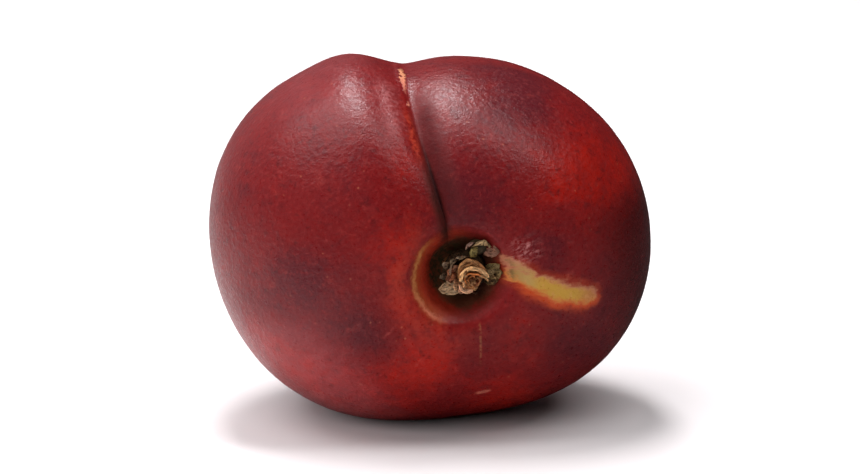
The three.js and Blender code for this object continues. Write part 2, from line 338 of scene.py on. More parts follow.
def press_flat(points):
    """Flattens the lowest part, where it rests, and keeps the points within the CAD solid's bounds."""
    t = points[:, 2] / FLAT_EASING
    points[:, 2] = np.where(t < -1, 0, np.where(t < 1, FLAT_EASING * (t + 1) ** 2 / 4, points[:, 2]))
    low, high = (np.array(corner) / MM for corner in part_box("fruit"))
    return np.clip(points, low, high)


def make_skin(material):
    polar, azimuth = skin_surface()
    radius = fruit_radius(polar, azimuth)
    smooth = stem_point(polar, azimuth, radius)
    plane = smooth[:, :2]
    off = np.hypot(smooth[:, 0], smooth[:, 1])
    stem_side = ease(smooth[:, 2], 0, 6)
    away = azimuth - suture_azimuth(polar)
    across = radius * np.sin(polar) * np.sin(away)
    on_suture_side = ease(np.cos(away), 0.1, 0.6)
    broad = layered_noise(smooth, 11, 3)
    middling = layered_noise(smooth, 4, 17)
    fine = layered_noise(smooth, 1.3, 29)

    relief = UNEVEN[0] * broad + UNEVEN[1] * middling + UNEVEN[2] * fine - SUNK
    relief = relief + on_suture_side * fine_suture_relief(polar, across, middling)
    relief = relief + stem_side * fine_cavity_relief(azimuth, off, broad, middling)
    points = press_flat(to_row(stem_point(polar, azimuth, radius + relief)))

    outwards = plane / np.maximum(off, 1)[:, None]
    values = {
        "stem_mm": smooth,
        "streaks": np.column_stack([13 * outwards, 0.3 * (radius + relief) * polar]),
        "off": off + HIDDEN * (1 - stem_side),
        "across": across + np.sign(across) * HIDDEN * (1 - on_suture_side),
        "polar": polar,
        "patch": stem_side * patch_strength(plane, middling, fine),
        "redness": stem_side * cloud_redness(plane),
        "middling": middling,
        "ring_angle": np.degrees(np.arctan2(smooth[:, 1], smooth[:, 0])) % 360,
    }
    faces = closed_rings(SKIN_RINGS - 1, SKIN_COLUMNS)
    return add_piece("fruit_skin", points, faces, "fruit", material, values)


# ------------ the torn stalk, the dry scales and the bud

SHEET_ROWS, SHEET_ACROSS = 30, 17
STALK_FOOT, STALK_TOP = 16.5, 25.7
NECK_RADIUS, HEAD_RADIUS = 1.7, 2.2
STALK_LEAN = np.array([1.9, -0.8, 0.0])
BROKEN_SIDE, BROKEN_DEPTH = -50, 0.24  # where the head is broken away, and how deep

# Lips of the torn end: a path in the stem frame's XY, height of the middle, half height, how far it leans
# out at its start and its end, thickness, colour.
LIPS = (
    (((-0.2, -1.1), (0.4, 0.0), (1.65, 0.5), (2.8, 0.1), (3.6, -0.7), (4.05, -1.5)),
     25.85, 0.5, 0.9, 1.4, 0.45, (1.0, 0.6, 0.28)),
    (((-0.1, 0.2), (0.6, 1.2), (1.7, 1.45), (2.6, 0.9), (3.2, 0.1)),
     25.3, 0.75, 0.8, 0.7, 0.4, (0.6, 0.3, 0.12)),
    (((0.5, -1.8), (0.65, -0.75), (1.5, -0.2), (2.5, -0.5), (3.1, -1.1)),
     25.5, 0.5, -0.3, 0.3, 0.3, (0.72, 0.24, 0.072)),
    (((-0.2, -1.3), (-0.05, -2.2), (0.65, -2.85), (1.5, -2.9)),
     25.4, 0.5, 0.9, 0.7, 0.35, (0.9, 0.504, 0.3)),
    (((0.7, -2.0), (1.35, -2.6), (2.35, -2.15), (3.2, -1.7)),
     24.95, 0.4, 0.4, 0.3, 0.25, (0.6, 0.24, 0.108)),
    (((1.2, -1.5), (1.2, -0.9), (1.9, -0.8), (2.3, -1.3)),
     25.3, 0.4, 0.2, 0.4, 0.25, (0.72, 0.264, 0.084)),
    (((0.2, -2.0), (0.3, -1.3), (0.2, -0.6)),
     25.7, 0.35, 0.4, 0.4, 0.3, (0.96, 0.54, 0.264)),
    (((2.9, -1.2), (3.5, -1.5), (3.9, -2.1)),
     25.4, 0.35, 0.9, 1.2, 0.3, (0.96, 0.54, 0.24)),
    (((1.6, -1.3), (2.3, -1.8), (3.0, -1.5)),
     25.2, 0.35, 0.2, 0.6, 0.25, (0.36, 0.108, 0.036)),
)

# Dry scales: foot, bearing, lean, length, width, cup, curl, how crumpled, colour.
STALK_SCALES = (
    ((0.2, -2.0, 23.6), 172, 72, 4.0, 2.5, 0.3, 0.3, 0.32, (0.56, 0.38, 0.22)),
    ((-0.5, -0.4, 23.1), 178, 34, 2.5, 1.9, 0.35, -0.3, 0.3, (0.315, 0.126, 0.063)),
    ((-0.5, 0.5, 23.2), 152, 32, 2.7, 2.0, 0.3, 0.5, 0.3, (0.273, 0.168, 0.105)),
    ((0.0, 1.0, 23.1), 128, 36, 2.6, 1.8, 0.35, 0.4, 0.25, (0.231, 0.157, 0.095)),
    ((1.3, 1.7, 22.9), 98, 20, 2.4, 1.7, 0.3, 0.2, 0.2, (0.294, 0.189, 0.105)),
    ((0.3, -2.2, 23.2), 222, 34, 2.2, 2.0, 0.3, 0.3, 0.25, (0.42, 0.21, 0.126)),
    ((1.9, -3.0, 22.9), 268, 18, 1.8, 2.0, 0.3, -0.2, 0.2, (0.126, 0.052, 0.025)),
    ((3.9, -2.0, 23.2), 346, 46, 2.6, 2.0, 0.35, 0.5, 0.4, (0.13, 0.08, 0.035)),
    ((4.2, -1.2, 23.6), 356, 52, 3.1, 1.9, 0.35, 0.5, 0.45, (0.26, 0.18, 0.075)),
    ((4.5, -0.6, 23.7), 6, 50, 2.4, 1.5, 0.3, -0.3, 0.45, (0.32, 0.24, 0.1)),
)
# Crumpled scraps of bark between the stalk and the scales on its left, then broken bits on its right.
SCRAPS = (
    ((-0.6, 0.3, 24.4), 150, 60, 1.5, 1.3, 0.2, 0.5, 0.45, (0.552, 0.191, 0.096)),
    ((-0.3, -0.3, 24.7), 170, 50, 1.3, 1.2, -0.2, 0.4, 0.5, (0.425, 0.149, 0.064)),
    ((-0.9, -0.1, 24.3), 200, 62, 1.3, 1.2, 0.2, 0.3, 0.5, (0.51, 0.213, 0.128)),
    ((-0.2, 0.9, 24.5), 120, 46, 1.2, 1.1, 0.2, 0.4, 0.45, (0.425, 0.191, 0.106)),
    ((-0.2, -1.1, 24.6), 190, 56, 1.3, 1.1, 0.2, 0.3, 0.5, (0.637, 0.319, 0.17)),
    ((-0.3, -1.6, 24.4), 212, 66, 1.2, 1.0, -0.2, 0.3, 0.4, (0.722, 0.425, 0.234)),
    ((0.0, -2.2, 24.2), 232, 58, 1.2, 1.1, 0.2, 0.2, 0.45, (0.637, 0.361, 0.213)),
    ((-1.3, 1.5, 24.3), 140, 52, 1.4, 1.1, 0.2, 0.3, 0.4, (0.361, 0.255, 0.17)),
    ((-0.4, 1.8, 24.2), 112, 40, 1.3, 1.0, 0.2, 0.3, 0.4, (0.276, 0.213, 0.128)),
    ((0.5, 1.9, 24.0), 86, 34, 1.3, 1.1, 0.2, 0.3, 0.4, (0.319, 0.234, 0.149)),
    ((-2.0, 0.1, 24.2), 184, 60, 1.2, 1.0, 0.2, 0.3, 0.5, (0.213, 0.149, 0.096)),
    ((5.0, -1.6, 24.4), 330, 70, 1.3, 0.9, 0.2, 0.3, 0.5, (0.38, 0.25, 0.12)),
    ((5.3, -0.6, 24.8), 30, 66, 1.2, 0.9, 0.2, 0.3, 0.5, (0.46, 0.33, 0.15)),
    ((5.6, -1.2, 24.7), 350, 78, 1.5, 0.8, -0.2, 0.4, 0.5, (0.5, 0.35, 0.16)),
    ((4.6, -2.2, 24.0), 318, 64, 1.2, 1.0, 0.2, 0.3, 0.45, (0.3, 0.19, 0.09)),
    ((4.3, -1.0, 24.9), 16, 60, 1.2, 0.9, 0.2, 0.3, 0.5, (0.36, 0.25, 0.12)),
)
BUD_SCALES = (
    ((2.7, 3.3, 23.4), 112, 26, 3.1, 1.8, 0.3, 0.3, 0.26, (0.3, 0.18, 0.14)),
    ((4.2, 3.2, 23.4), 76, 24, 3.1, 3.0, 0.7, 0.3, 0.3, (0.4, 0.28, 0.14)),
    ((4.8, 2.3, 23.7), 348, 40, 3.0, 2.2, 0.35, 0.2, 0.26, (0.3, 0.15, 0.1)),
    ((3.4, 1.6, 23.4), 290, -22, 2.7, 2.0, 0.3, 0.8, 0.26, (0.32, 0.26, 0.09)),
)
SCALE_THICKNESS = 0.26
WOOD, PALE_WOOD, BROWN_WOOD = (0.42, 0.19, 0.075), (0.85, 0.5, 0.24), (0.3, 0.1, 0.035)
COLLAR_BROWN, BUD_BROWN = (0.05, 0.03, 0.016), (0.07, 0.055, 0.03)
SPLINTERS = 30
COLLAR_PLACE, COLLAR_RADIUS = (1.3, -0.4), 3.2
COLLAR_LOW, COLLAR_HIGH = 20.4, 23.9
BUD_PLACE, BUD_RADIUS = (3.9, 2.9), 1.25
BUD_LOW, BUD_HIGH = 21.6, 25.2
BUD_BEARING, BUD_TILT = 42, 12  # degrees


def unit(vectors):
    return vectors / np.linalg.norm(vectors, axis=-1, keepdims=True)


def compass(degrees):
    a = np.radians(degrees)
    return joined(np.cos(a), np.sin(a), 0)


def curve(points, count):
    """Points along a smooth curve through a few given ones."""
    p = np.array(points, float)
    p = np.concatenate([2 * p[:1] - p[1:2], p, 2 * p[-1:] - p[-2:-1]])
    t = np.linspace(0, len(points) - 1, count)
    k = np.minimum(t.astype(int), len(points) - 2)
    t = (t - k)[:, None]
    a, b, c, d = (p[k + step] for step in range(4))
    return b + 0.5 * ((c - a) * t + (2 * a - 5 * b + 4 * c - d) * t**2 + (3 * b - a - 3 * c + d) * t**3)


def shell(points, weave, tint):
    """A closed body in the stem frame: a first point, rings of points and a last point."""
    first, middle, last = points
    rings, columns = middle.shape[:2]
    flat = np.concatenate([first[None], middle.reshape(-1, 3), last[None]])
    woven = np.concatenate([weave[:1, 0], weave.reshape(-1, 3), weave[-1:, 0]])
    values = {"weave": woven, "tint": np.tile(tint, (len(flat), 1))}
    return flat, closed_rings(rings, columns), values


def sheet(spine, wide, half, thickness, cup, crumple, seed, tint):
    """A thin dry sheet along a spine, with its width along wide, ragged edges and a crumpled face."""
    tangent = unit(np.gradient(spine, axis=0))
    facing = np.cross(wide, tangent)
    u = np.linspace(-1, 1, SHEET_ACROSS)
    across = np.concatenate([u, u[-2:0:-1]])
    side = np.concatenate([[0], np.ones(SHEET_ACROSS - 2), [0], -np.ones(SHEET_ACROSS - 2)])
    run = np.arange(len(spine)) * 0.12
    ragged = 0.1 + 0.5 * crumple
    edge = [1 + ragged * layered_noise(joined(run, k, 0), 0.5, seed + 7 + k) for k in (0, 1)]
    reach = half[:, None] * np.where(across < 0, edge[0][:, None], edge[1][:, None])
    middle = spine[:, None] + wide[:, None] * (reach * across)[..., None]
    thin = np.minimum(1, half / (0.35 * half.max()))[:, None]
    lift = cup * across**2 + crumple * layered_noise(middle, 1.3, seed)
    lift = lift + 0.03 * np.cos(5.5 * across + seed + 2 * smooth_noise(middle, 1.5, seed + 3))
    body = 0.5 * thickness * side * np.sqrt(1 - across**2) * thin
    points = middle + facing[:, None] * (lift + body)[..., None]
    share = np.linspace(0, 1, len(spine))[:, None]
    weave = joined(across, share, seed)
    return shell((points[0].mean(0), points, points[-1].mean(0)), weave, tint)


def scale(foot, bearing, lean, length, width, cup, curl, crumple, tint, seed):
    """One dry scale: it grows from its foot, leaning from upright towards a bearing, to a blunt tip."""
    out, tilt = compass(bearing), math.radians(lean)
    growth = out * math.sin(tilt) + np.array([0, 0, math.cos(tilt)])
    face = -out * math.cos(tilt) + np.array([0, 0, math.sin(tilt)])
    along = 1 - (1 - np.linspace(0, 0.985, SHEET_ROWS)) ** 1.5
    spine = np.array(foot) + along[:, None] * length * growth + (curl * along**2)[:, None] * face
    half = 0.5 * width * (0.5 + 0.5 * ease(along, -0.4, 0.45)) * (1 - along**3.2) ** 0.55
    wide = np.tile(np.cross(growth, face), (SHEET_ROWS, 1))
    return sheet(spine, wide, half, SCALE_THICKNESS, cup, crumple, seed, tint)


def lip(path, height, half, lean_from, lean_to, thickness, tint, seed):
    """A torn lip of wood, standing along a path on the stalk's head."""
    t = np.linspace(0, 1, SHEET_ROWS)
    spine = np.column_stack([curve(path, SHEET_ROWS), np.full(SHEET_ROWS, height)])
    wobble = [smooth_noise(joined(3.5 * t, 0, seed + k), 1.0, seed + k) for k in range(3)]
    spine = spine + 0.1 * joined(*wobble)
    out = unit((spine - STALK_LEAN) * (1, 1, 0))
    uneven = 1 + 0.6 * layered_noise(joined(6 * t, seed, 0), 1.0, seed + 1)
    ends = (1 - np.abs(2 * t - 1) ** 4) ** 0.6 * 0.94 + 0.06
    wide = unit(np.array([0, 0, 1.0]) + (lean_from + (lean_to - lean_from) * t)[:, None] * out)
    return sheet(spine, wide, half * uneven * ends, thickness, 0.0, 0.2, seed, tint)


def broken_away(around):
    """1 on the broken side of the head, fading to 0 round it."""
    return bell(2 * np.sin((around - math.radians(BROKEN_SIDE)) / 2), 0.7)


def torn_height(share, around):
    """The height of the torn end over its rim, at a share of the head's radius and an angle."""
    suture_side = ease(np.sin(around), -0.5, 0.7)
    lips = 0.45 * (bell(share - 0.94, 0.1) + 0.8 * bell(share - 0.62, 0.1)) * suture_side
    fibres = 0.16 * np.sin(7 * around + 1.3) * share * (1.2 - suture_side)
    sunk = 0.7 * share**2 * broken_away(around)
    return lips - 0.55 * bell(share, 0.85) - sunk + fibres


def stalk_core():
    """The stub of the stalk, from the middle of its torn end, over its rim and down its fluted side."""
    around = math.pi / 2 - circle(112)
    share = np.linspace(0.03, 1, 34)[:, None]
    rise = np.linspace(1, 0, 46)[1:, None]
    foot, top, neck, head = STALK_FOOT, STALK_TOP, NECK_RADIUS, HEAD_RADIUS
    heights = np.array([foot, foot + 1, foot + 3, foot + 5, top - 2, top - 0.8, top])
    radii = np.array([0.85 * neck, neck, neck, 1.06 * neck, 0.94 * head, head, head])
    face_radius = share * head + 0 * around
    face_height = top - 0.12 + torn_height(share, around)
    side_radius = np.interp(foot + rise * (top - foot), heights, radii) + 0 * around
    side_height = foot + rise * (top - foot) + (face_height[-1] - top) * ease(rise, 0.8, 1)
    radius = np.concatenate([face_radius, side_radius])
    height = np.concatenate([face_height, side_height])
    on_face = np.concatenate([ease(share, 0, 0.3) * (share < 0.99), 0 * rise])
    turning = joined(np.cos(around), np.sin(around), 0.12 * height)
    bark = layered_noise(turning * 2.2, 0.5, 51)
    broken = broken_away(around) * ease((height - foot) / (top - foot), 0.7, 1)
    fluted = 1 + 0.05 * np.cos(5 * around + 0.6) + 0.03 * np.sin(3 * around) - BROKEN_DEPTH * broken
    radius = radius * fluted + 0.09 * bark * (1 - on_face)
    swirl = np.sin(17 * radius + 2.4 * np.sin(around + 0.8) + 3 * bark)
    height = height + on_face * (0.07 * swirl + 0.1 * layered_noise(turning * 3, 0.6, 57))
    lean = STALK_LEAN * ease((height - foot) / (top - foot), 0, 1)[..., None]
    points = joined(radius * np.cos(around), radius * np.sin(around), height) + lean
    grain = radius * (on_face > 0) + 3 * around * (on_face == 0)
    weave = joined(grain, 0.6 * around + 0.15 * height, 0)
    face_middle = STALK_LEAN + [0, 0, face_height[0].mean()]
    return shell((face_middle, points, np.array([0, 0, foot])), weave, WOOD)


def lump(place, profile, tilt, tint, seed, roughness):
    """A lumpy round body: profile is a list of radius and height, from its top to its foot."""
    azimuth = circle(64)
    run = np.linspace(0, len(profile) - 1, 42)
    radius = np.interp(run, range(len(profile)), [row[0] for row in profile])[:, None]
    height = np.interp(run, range(len(profile)), [row[1] for row in profile])[:, None]
    points = joined(radius * np.sin(azimuth), radius * np.cos(azimuth), height)
    grown = 1 + roughness * layered_noise(points * (1, 1, 0.5), 1.2, seed)
    points = points * joined(grown, grown, 1) @ tilt.T + np.array([*place, 0])
    weave = joined(3 * azimuth, 0.3 * height, seed)
    return shell((points[0].mean(0), points, points[-1].mean(0)), weave, tint)


def add_shells(name, shells, node, material):
    """One piece of several closed bodies of the stem frame."""
    points, faces, values = [], [], {}
    for more, sides, extra in shells:
        start = sum(len(p) for p in points)
        faces += [tuple(start + k for k in side) for side in sides]
        points.append(more)
        for key, value in extra.items():
            values.setdefault(key, []).append(value)
    values = {key: np.concatenate(value) for key, value in values.items()}
    return add_piece(name, to_row(np.concatenate(points)), faces, node, material, values)


def splinters(count, seed):
    """Short torn splinters standing all over the stalk's head."""
    rng = np.random.default_rng(seed)
    pale, brown = np.array(PALE_WOOD), np.array(BROWN_WOOD)
    made = []
    for k in range(count):
        turn, share = rng.uniform(0, 360), rng.uniform(0.3, 0.97)
        height = STALK_TOP - 0.35 + torn_height(share, math.radians(turn))
        missing = BROKEN_DEPTH * broken_away(math.radians(turn))
        foot = STALK_LEAN + compass(turn) * HEAD_RADIUS * share * (1 - missing) + np.array([0, 0, height])
        bearing, lean, curl = turn + rng.normal(0, 60), rng.uniform(-10, 45), rng.uniform(-0.3, 0.3)
        length, width = rng.uniform(0.7, 1.25), rng.uniform(0.3, 0.8)
        tint = brown + (pale - brown) * rng.uniform(0, 1)
        made.append(scale(foot, bearing, lean, length, width, 0.1, curl, 0.25, tint, seed + k))
    return made


def make_stalk_end(material):
    lips = [lip(*row, seed=60 + 5 * k) for k, row in enumerate(LIPS)]
    shells = [stalk_core(), *lips, *splinters(SPLINTERS, 700)]
    return add_shells("stalk_end", shells, "stalk", material)


def make_stalk_scales(material):
    low, high, wide = COLLAR_LOW, COLLAR_HIGH, COLLAR_RADIUS
    profile = [(0.5, high - 0.2), (2.0, high), (2.6, high - 0.1), (wide - 0.15, high - 0.5)]
    profile += [(wide, (low + high) / 2), (2.4, low), (0.5, low)]
    collar = lump(COLLAR_PLACE, profile, np.eye(3), COLLAR_BROWN, 41, 0.09)
    scales = [scale(*row, seed=100 + 9 * k) for k, row in enumerate(STALK_SCALES + SCRAPS)]
    return add_shells("stalk_scales_dry", [collar, *scales], "stalk_scales", material)


def make_side_bud(material):
    half, middle = (BUD_HIGH - BUD_LOW) / 2, (BUD_HIGH + BUD_LOW) / 2
    profile = [(BUD_RADIUS * math.sin(a), middle + half * math.cos(a)) for a in np.linspace(0.15, 3.0, 9)]
    bearing = math.radians(BUD_BEARING)
    axis = Vector((-math.sin(bearing), math.cos(bearing), 0))
    tilt = np.array(Matrix.Rotation(math.radians(BUD_TILT), 3, axis))
    core = lump((0, 0), profile, tilt, BUD_BROWN, 47, 0.05)
    core[0][:] += np.array([*BUD_PLACE, middle]) - tilt @ np.array([0, 0, middle])
    scales = [scale(*row, seed=300 + 9 * k) for k, row in enumerate(BUD_SCALES)]
    return add_shells("side_bud_scales", [core, *scales], "side_bud", material)


# ------------ materials


class Graph:
    """A material's nodes. An input that is a socket is linked, and any other value is set."""

    def __init__(self, name, **shader):
        self.material = bpy.data.materials.new(name)
        self.material.use_nodes = True
        self.tree = self.material.node_tree
        self.shader = self.tree.nodes["Principled BSDF"]
        self.set(self.shader, {key.replace("_", " "): value for key, value in shader.items()})

    def set(self, node, inputs):
        for key, value in inputs.items():
            socket = node.inputs[key]
            if isinstance(value, bpy.types.NodeSocket):
                self.tree.links.new(value, socket)
            elif socket.type == "RGBA":
                socket.default_value = (*value, 1)
            else:
                socket.default_value = value
        return node

    def add(self, kind, inputs, **settings):
        node = self.tree.nodes.new("ShaderNode" + kind)
        for key, value in settings.items():
            setattr(node, key, value)
        return self.set(node, inputs)

    def value(self, name):
        return self.add("Attribute", {}, attribute_name=name).outputs["Fac"]

    def vector(self, name):
        return self.add("Attribute", {}, attribute_name=name).outputs["Vector"]

    def math(self, operation, a, b=0.0):
        return self.add("Math", {0: a, 1: b}, operation=operation).outputs[0]

    def stretched(self, vector, by):
        return self.add("VectorMath", {0: vector, 1: by}, operation="MULTIPLY").outputs[0]

    def noise(self, vector, scale, detail=3.0, roughness=0.55, distortion=0.0):
        inputs = {"Vector": vector, "Scale": scale, "Detail": detail}
        inputs.update({"Roughness": roughness, "Distortion": distortion})
        return self.add("TexNoise", inputs).outputs["Fac"]

    def cells(self, vector, scale):
        return self.add("TexVoronoi", {"Vector": vector, "Scale": scale})

    def ramp(self, value, low, high, start=0.0, end=1.0):
        """A smooth step from start at low to end at high."""
        inputs = {"Value": value, "From Min": low, "From Max": high, "To Min": start, "To Max": end}
        return self.add("MapRange", inputs, interpolation_type="SMOOTHSTEP").outputs[0]

    def fall(self, value, low, high):
        """1 below low and 0 above high."""
        return self.ramp(value, low, high, 1.0, 0.0)

    def apart(self, a, b):
        return self.math("ABSOLUTE", self.math("SUBTRACT", a, b))

    def band(self, value, middle, half):
        """1 at the middle of a band and 0 beyond its edges."""
        return self.fall(self.apart(value, middle), 0.0, half)

    def facing(self, angle, bearing):
        """1 where an angle is the bearing and -1 opposite, both in degrees."""
        return self.math("COSINE", self.math("RADIANS", self.math("SUBTRACT", angle, bearing)))

    def product(self, *values):
        made = values[0]
        for value in values[1:]:
            made = self.math("MULTIPLY", made, value)
        return made

    def total(self, *values):
        made = values[0]
        for value in values[1:]:
            made = self.math("ADD", made, value)
        return made

    def blend(self, factor, a, b):
        return self.add("Mix", {0: factor, 6: a, 7: b}, data_type="RGBA").outputs[2]

    def over(self, colour, paint, *amounts):
        """A paint over a colour, by the product of some amounts."""
        return self.blend(self.product(*amounts), colour, paint)

    def relief(self, height):
        """Bump from a height in millimetres."""
        bump = self.add("Bump", {"Height": height, "Strength": 1.0, "Distance": MM})
        self.set(self.shader, {"Normal": bump.outputs[0]})


# Colours of the skin, as linear red, green and blue.
PLUM, MAROON, RED = (0.088, 0.0075, 0.011), (0.155, 0.0068, 0.0075), (0.32, 0.0085, 0.0035)
ROSE, WINE, PALE_WISP = (0.28, 0.025, 0.023), (0.06, 0.004, 0.005), (0.38, 0.06, 0.05)
# The first is a painted sheen; the second darkens the low right cheek, partly its own deep maroon and partly
# painted shade.
SHEEN_PINK, RIGHT_CHEEK_SHADE, PALE_SPECK = (0.38, 0.11, 0.12), (0.045, 0.0025, 0.003), (0.5, 0.17, 0.09)
GOLDEN, TIP_BROWN = (0.5, 0.15, 0.022), (0.07, 0.028, 0.012)
# The last two are the cavity's wall: darker inwards, partly its own brown and partly painted shade, lighter
# where the light reaches.
BLUSH, SHADED_WALL, WARM_LIT_WALL = (0.38, 0.03, 0.012), (0.1, 0.007, 0.004), (0.32, 0.026, 0.009)
# Deeper in the cavity: painted shadow over its own dark brown, warmer where the light reaches, then darker
# specks at the very bottom.
CAVITY_SHADOW, CAVITY_SHADOW_WARM, DEEP_CAVITY_SPECKS = (0.05, 0.016, 0.007), (0.15, 0.055, 0.024), (0.06, 0.045, 0.02)
RIM_GLOW, RIM_TAN, RIM_PINK = (0.3, 0.06, 0.012), (0.46, 0.19, 0.055), (0.5, 0.14, 0.075)
# The last is a painted highlight along the top edge of the patch.
PATCH_GLOW, PATCH_HALO, PATCH_TOP_HIGHLIGHT = (0.42, 0.045, 0.009), (0.46, 0.055, 0.009), (0.5, 0.2, 0.19)
BORDER_ORANGE, BORDER_TAN = (0.5, 0.16, 0.035), (0.4, 0.15, 0.075)
PATCH_FLECKS, PATCH_STAINS = (0.52, 0.24, 0.08), (0.3, 0.12, 0.025)
# The patch's own colour outwards from the cavity: where each blends into the next, from and to.
PATCH_START = (0.13, 0.075, 0.02)
PATCH_COLOURS = (
    (7.4, 8.6, (0.33, 0.2, 0.06)),
    (8.6, 10, (0.4, 0.25, 0.075)),
    (9.8, 12.6, (0.46, 0.26, 0.033)),
    (17.5, 21, (0.4, 0.15, 0.04)),
)
# The first is painted shadow down the crease by the cavity.
GULLY_SHADOW, CREASE_RED = (0.035, 0.006, 0.002), (0.2, 0.005, 0.003)
STREAK, CREASE_SHADE = (0.48, 0.05, 0.02), (0.05, 0.004, 0.005)
# Painted shade for the crease's fine dark line, and a painted highlight for its left flank.
CREASE_LINE_SHADE, FLANK_HIGHLIGHT = (0.025, 0.003, 0.003), (0.47, 0.17, 0.17)
CORK_PINK, CORK_TAN = (0.6, 0.19, 0.12), (0.62, 0.25, 0.12)
DRIP, NICK = (0.3, 0.11, 0.045), (0.5, 0.15, 0.1)


def skin_fields(g):
    """What the skin's colours are worked out from: places in the stem frame, painted values and noise."""
    at = g.vector("stem_mm")
    place = g.add("SeparateXYZ", {0: at})
    off = g.value("off")
    return SimpleNamespace(
        at=at,
        x=place.outputs[0],
        y=place.outputs[1],
        z=place.outputs[2],
        off=off,
        across=g.value("across"),
        polar=g.value("polar"),
        angle=g.value("ring_angle"),
        redness=g.value("redness"),
        patch=g.value("patch"),
        middling=g.value("middling"),
        stem_side=g.fall(off, 30, 40),
        large=g.noise(at, 0.07, 3, 0.5),
        mottle=g.noise(at, 0.3, 5, 0.65, 0.6),
        blotch=g.noise(at, 0.8, 4, 0.65, 0.3),
        fine=g.noise(at, 1.7, 3, 0.6),
        brushed=g.noise(g.vector("streaks"), 1, 4, 0.7, 0.3),
        specks=g.cells(at, 0.7),
    )


def clouds(g, f):
    """Plum to maroon to red, in soft clouds with a fine mottle."""
    tone = g.total(f.redness, g.product(f.large, 0.5), g.product(f.mottle, 0.8))
    tone = g.total(tone, g.product(f.blotch, 0.35), -0.83)
    colour = g.blend(g.ramp(tone, -0.5, 0.05), PLUM, MAROON)
    colour = g.blend(g.ramp(tone, 0, 0.65), colour, RED)
    colour = g.blend(g.ramp(f.fine, 0.5, 0.75, 0, 0.32), colour, ROSE)
    colour = g.blend(g.ramp(f.blotch, 0.28, 0.45, 0.5, 0), colour, WINE)
    wisps = g.product(g.ramp(f.brushed, 0.54, 0.78), g.ramp(f.mottle, 0.42, 0.62), g.ramp(f.off, 7, 12))
    return g.over(colour, PALE_WISP, wisps, 0.35)


def painted_sheen(g, f, colour):
    """Painted sheen: a pinkish haze that stands for the floor's reflection low on the left, and for the
    highlight's haze on top of the left cheek.
    """
    leftward = g.total(g.product(f.x, -0.9), g.product(f.y, -0.44))
    low = g.product(g.ramp(leftward, 17, 25), g.ramp(f.y, 2, -8), g.ramp(f.z, -12, 0))
    top = g.product(g.ramp(f.y, 23, 28.5, 0, 0.4), g.ramp(f.x, -24, -14), g.fall(f.x, -5, -1))
    amount = g.product(g.math("MAXIMUM", low, top), g.ramp(f.brushed, 0.25, 0.7, 0.4, 1), 0.34)
    return g.blend(amount, colour, SHEEN_PINK)


def tip_colours(g, f, colour):
    """Golden ground colour showing through round the tip, and the tip's small brown scar."""
    towards_tip = g.total(f.z, g.product(f.large, 20), -10)
    ground = g.product(g.ramp(towards_tip, -19, -28), g.ramp(f.y, 8, -6))
    ground = g.product(ground, g.ramp(f.mottle, 0.3, 0.7, 0.45, 1), g.ramp(f.brushed, 0.25, 0.7, 0.7, 1))
    colour = g.over(colour, GOLDEN, ground, 0.5)
    return g.blend(g.ramp(g.total(f.polar, g.product(f.fine, 0.04)), 3.07, 3.14), colour, TIP_BROWN)


def dark_and_shaded_cheek(g, f, colour):
    """The low right cheek darkened: partly its own deep maroon, partly painted shade."""
    rightward = g.total(f.x, g.product(f.mottle, 3), -1.5)
    shade_amount = g.product(g.ramp(rightward, 18, 29), g.ramp(f.y, 7, -1))
    shade_amount = g.product(shade_amount, g.ramp(f.y, -30, -20), g.ramp(f.z, -10, 4))
    # painted shade, over a cheek that is also a deep maroon
    return g.over(colour, RIGHT_CHEEK_SHADE, shade_amount, 0.85)


def pale_specks(g, f, colour):
    """Fine pale specks in some of the noise's cells."""
    chosen = g.ramp(g.add("SeparateColor", {0: f.specks.outputs["Color"]}).outputs[0], 0.45, 0.9)
    speck = g.product(g.fall(f.specks.outputs["Distance"], 0.06, 0.17), chosen, g.ramp(f.mottle, 0.4, 0.65))
    return g.over(colour, PALE_SPECK, speck, 0.4)


def cavity(g, f, colour):
    """The blush round the cavity, and its wall and inside darker: partly their own brown, partly painted
    shade, lighter and warmer at the upper left, where the light reaches.
    """
    blush = g.product(g.band(f.off, 9, 4.5), g.band(f.angle, 185, 125))
    blush = g.product(blush, g.ramp(f.mottle, 0.3, 0.6), g.ramp(f.fine, 0.3, 0.6, 0.5, 1))
    colour = g.over(colour, BLUSH, blush, 0.6)
    inside = g.total(f.off, g.product(f.fine, 1.4), g.product(f.mottle, 1.5), -1.45)
    upper_left = g.facing(f.angle, 160)
    # painted shade on the cavity's wall, less at the upper left
    wall = g.blend(g.ramp(upper_left, -0.4, 0.6), SHADED_WALL, WARM_LIT_WALL)
    colour = g.blend(g.ramp(inside, 5.9, 7.4, 0.9, 0), colour, wall)
    inside = g.total(inside, g.product(g.math("MAXIMUM", upper_left, -0.3), 1.8))
    # painted shadow deep in the cavity, warmer at the upper left
    shadow_colour = g.blend(g.ramp(upper_left, -0.2, 0.7), CAVITY_SHADOW, CAVITY_SHADOW_WARM)
    colour = g.blend(g.ramp(inside, 4.6, 5.7, 0.92, 0), colour, shadow_colour)
    # darker specks at the very bottom of the cavity
    return g.over(colour, DEEP_CAVITY_SPECKS, g.fall(f.off, 3.6, 4.6), g.ramp(f.fine, 0.4, 0.6))


